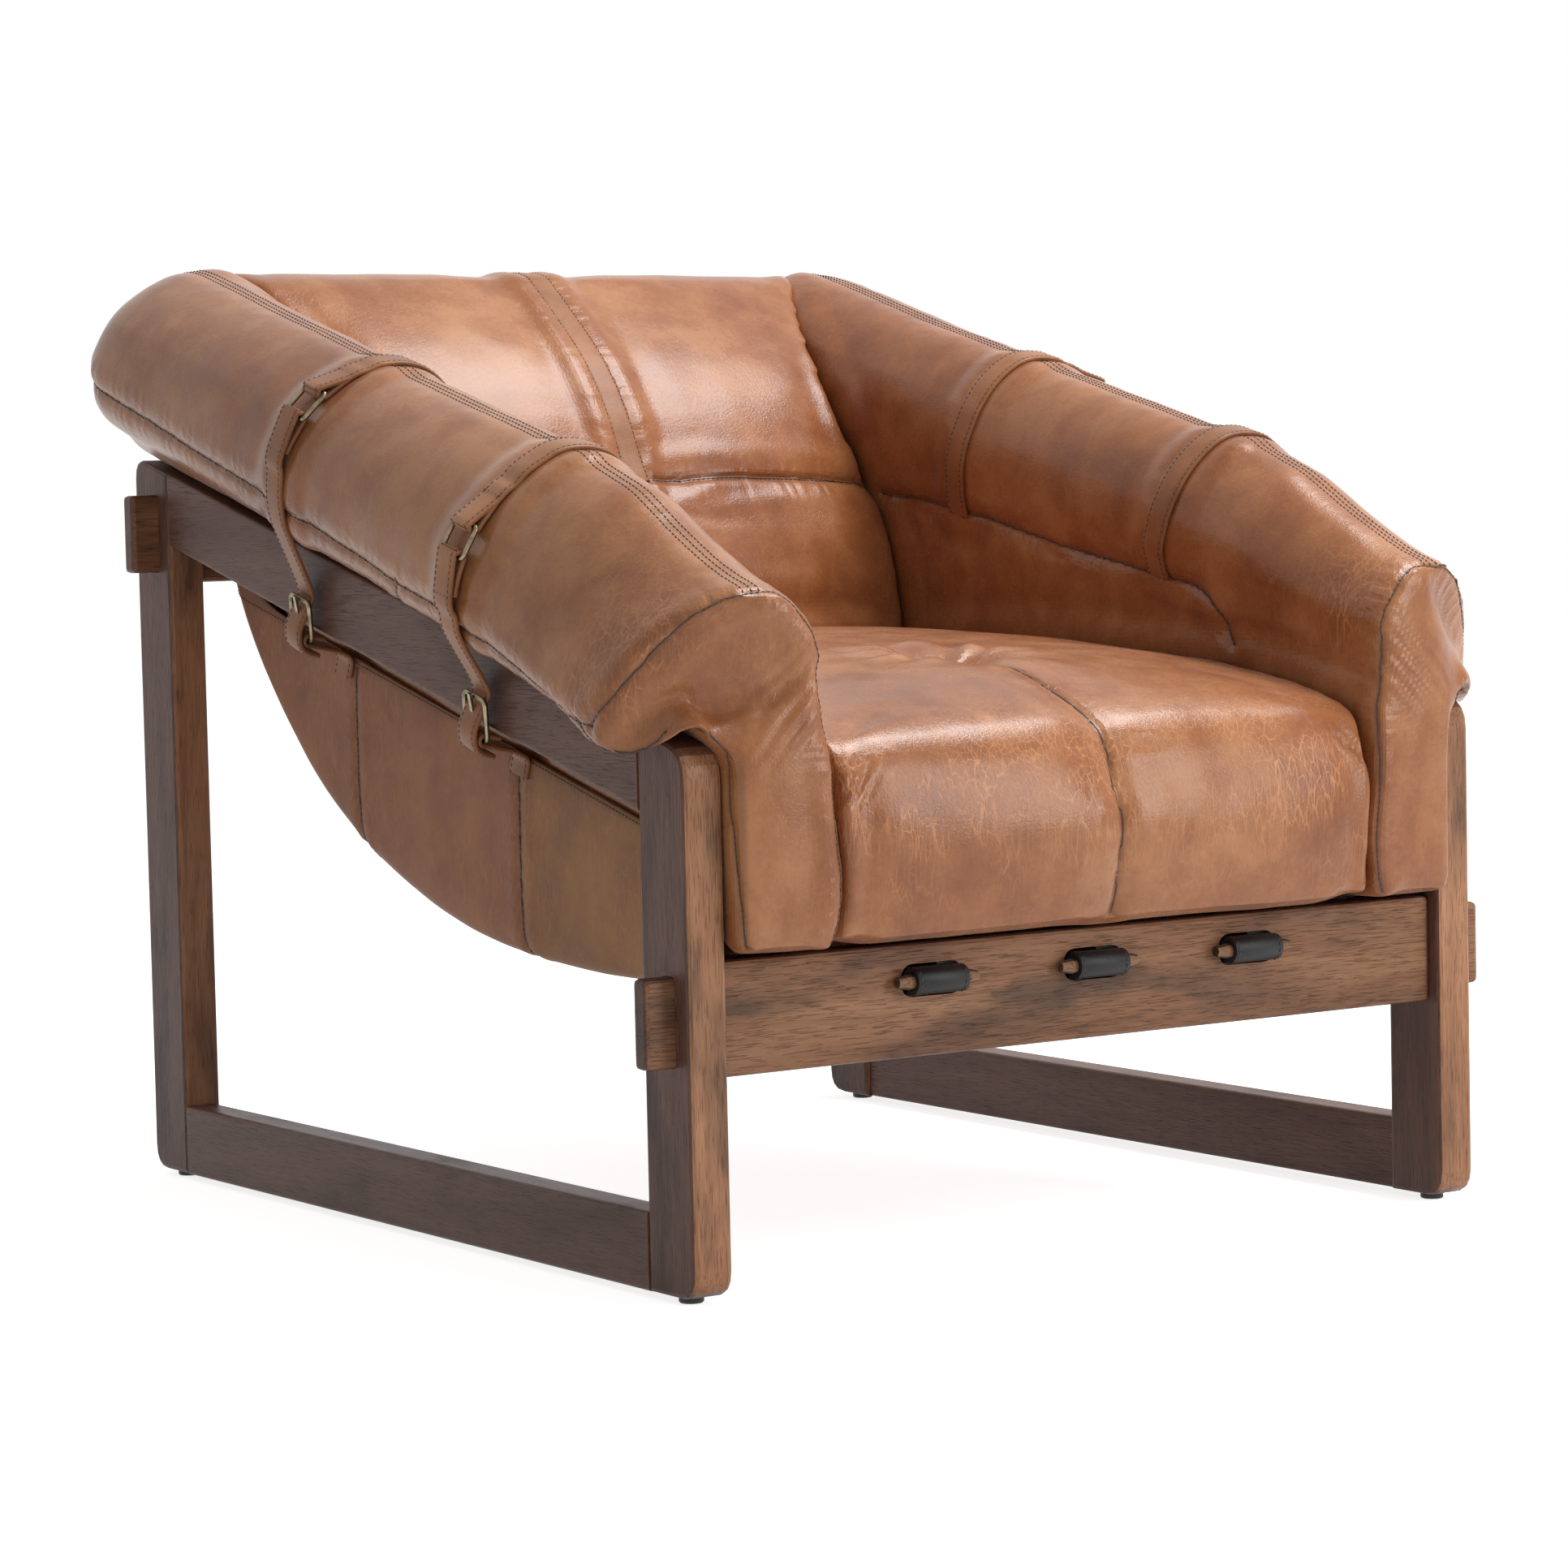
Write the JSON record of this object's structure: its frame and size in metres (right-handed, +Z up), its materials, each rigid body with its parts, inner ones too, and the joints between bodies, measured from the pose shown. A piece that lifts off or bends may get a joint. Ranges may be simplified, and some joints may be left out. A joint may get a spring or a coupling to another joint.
{
  "type": "sling_lounge_chair",
  "caption": "Low lounge chair with slanted dark wooden side frames and a padded tan leather sling held over the frame by buckled straps",
  "frame": {"origin": "middle of the chair's outer box, on the floor", "axes": "+X is the sitter's left, -Y is where the sitter faces, +Z is up"},
  "size_m": [0.8224, 0.9288, 0.7613],
  "materials": {
    "walnut": "dark stained, worn edges",
    "pale_walnut": "lighter brown stain, satin",
    "tan_leather": "waxed pull-up, mottled",
    "under_leather": "darker, matte",
    "strap_leather": "edge-stitched",
    "black_leather": "matte",
    "dowel_wood": "oiled",
    "antique_brass": "antique, brushed",
    "glide_plastic": "matte"
  },
  "bodies": {
    "chair": {"left_front_leg": "walnut", "left_rear_leg": "walnut", "left_bottom_rail": "walnut", "left_top_rail": "walnut", "left_front_glide": "glide_plastic", "left_rear_glide": "glide_plastic", "right_front_leg": "walnut", "right_rear_leg": "walnut", "right_bottom_rail": "walnut", "right_top_rail": "walnut", "right_front_glide": "glide_plastic", "right_rear_glide": "glide_plastic", "front_rail": "pale_walnut", "rear_rail": "walnut", "sling_cover": "under_leather", "right_belt": "black_leather", "middle_belt": "black_leather", "left_belt": "black_leather", "left_arm_cushion": "tan_leather", "right_arm_cushion": "tan_leather", "back_cushion": "tan_leather", "seat_cushion": "tan_leather", "left_front_upper_strap": "strap_leather", "left_front_ring": "antique_brass", "left_front_lower_strap": "strap_leather", "left_front_buckle_frame": "antique_brass", "left_front_tab_strap": "strap_leather", "left_rear_upper_strap": "strap_leather", "left_rear_ring": "antique_brass", "left_rear_lower_strap": "strap_leather", "left_rear_buckle_frame": "antique_brass", "left_rear_tab_strap": "strap_leather", "right_front_upper_strap": "strap_leather", "right_front_ring": "antique_brass", "right_front_lower_strap": "strap_leather", "right_front_buckle_frame": "antique_brass", "right_front_tab_strap": "strap_leather", "right_rear_upper_strap": "strap_leather", "right_rear_ring": "antique_brass", "right_rear_lower_strap": "strap_leather", "right_rear_buckle_frame": "antique_brass", "right_rear_tab_strap": "strap_leather", "back_upper_strap": "strap_leather", "back_ring": "antique_brass", "back_lower_strap": "strap_leather", "back_buckle_frame": "antique_brass", "back_tab_strap": "strap_leather"},
    "right_front_dowel_body": {"right_front_dowel": "dowel_wood"},
    "right_rear_dowel_body": {"right_rear_dowel": "dowel_wood"},
    "middle_front_dowel_body": {"middle_front_dowel": "dowel_wood"},
    "middle_rear_dowel_body": {"middle_rear_dowel": "dowel_wood"},
    "left_front_dowel_body": {"left_front_dowel": "dowel_wood"},
    "left_rear_dowel_body": {"left_rear_dowel": "dowel_wood"},
    "left_front_buckle_prong_body": {"left_front_buckle_prong": "antique_brass"},
    "left_rear_buckle_prong_body": {"left_rear_buckle_prong": "antique_brass"},
    "right_front_buckle_prong_body": {"right_front_buckle_prong": "antique_brass"},
    "right_rear_buckle_prong_body": {"right_rear_buckle_prong": "antique_brass"},
    "back_buckle_prong_body": {"back_buckle_prong": "antique_brass"}
  },
  "joints": [
    {"name": "right_front_dowel_slide", "type": "slide", "parent": "chair", "child": "right_front_dowel_body", "axis": [1, 0, 0], "range_m": [-0.06, 0.06]},
    {"name": "right_rear_dowel_slide", "type": "slide", "parent": "chair", "child": "right_rear_dowel_body", "axis": [1, 0, 0], "range_m": [-0.06, 0.06]},
    {"name": "middle_front_dowel_slide", "type": "slide", "parent": "chair", "child": "middle_front_dowel_body", "axis": [1, 0, 0], "range_m": [-0.06, 0.06]},
    {"name": "middle_rear_dowel_slide", "type": "slide", "parent": "chair", "child": "middle_rear_dowel_body", "axis": [1, 0, 0], "range_m": [-0.06, 0.06]},
    {"name": "left_front_dowel_slide", "type": "slide", "parent": "chair", "child": "left_front_dowel_body", "axis": [1, 0, 0], "range_m": [-0.06, 0.06]},
    {"name": "left_rear_dowel_slide", "type": "slide", "parent": "chair", "child": "left_rear_dowel_body", "axis": [1, 0, 0], "range_m": [-0.06, 0.06]},
    {"name": "left_front_buckle_prong_hinge", "type": "hinge", "parent": "chair", "child": "left_front_buckle_prong_body", "pos_m": [0.368, -0.16448, 0.38939], "axis": [0, 0.969, 0.2469], "range_deg": [0, 22]},
    {"name": "left_rear_buckle_prong_hinge", "type": "hinge", "parent": "chair", "child": "left_rear_buckle_prong_body", "pos_m": [0.368, 0.10298, 0.45753], "axis": [0, 0.969, 0.2469], "range_deg": [0, 22]},
    {"name": "right_front_buckle_prong_hinge", "type": "hinge", "parent": "chair", "child": "right_front_buckle_prong_body", "pos_m": [-0.368, -0.16448, 0.38939], "axis": [0, -0.969, -0.2469], "range_deg": [0, 22]},
    {"name": "right_rear_buckle_prong_hinge", "type": "hinge", "parent": "chair", "child": "right_rear_buckle_prong_body", "pos_m": [-0.368, 0.10298, 0.45753], "axis": [0, -0.969, -0.2469], "range_deg": [0, 22]},
    {"name": "back_buckle_prong_hinge", "type": "hinge", "parent": "chair", "child": "back_buckle_prong_body", "pos_m": [0, 0.40889, 0.48906], "axis": [-1, 0, 0], "range_deg": [0, 22]}
  ]
}
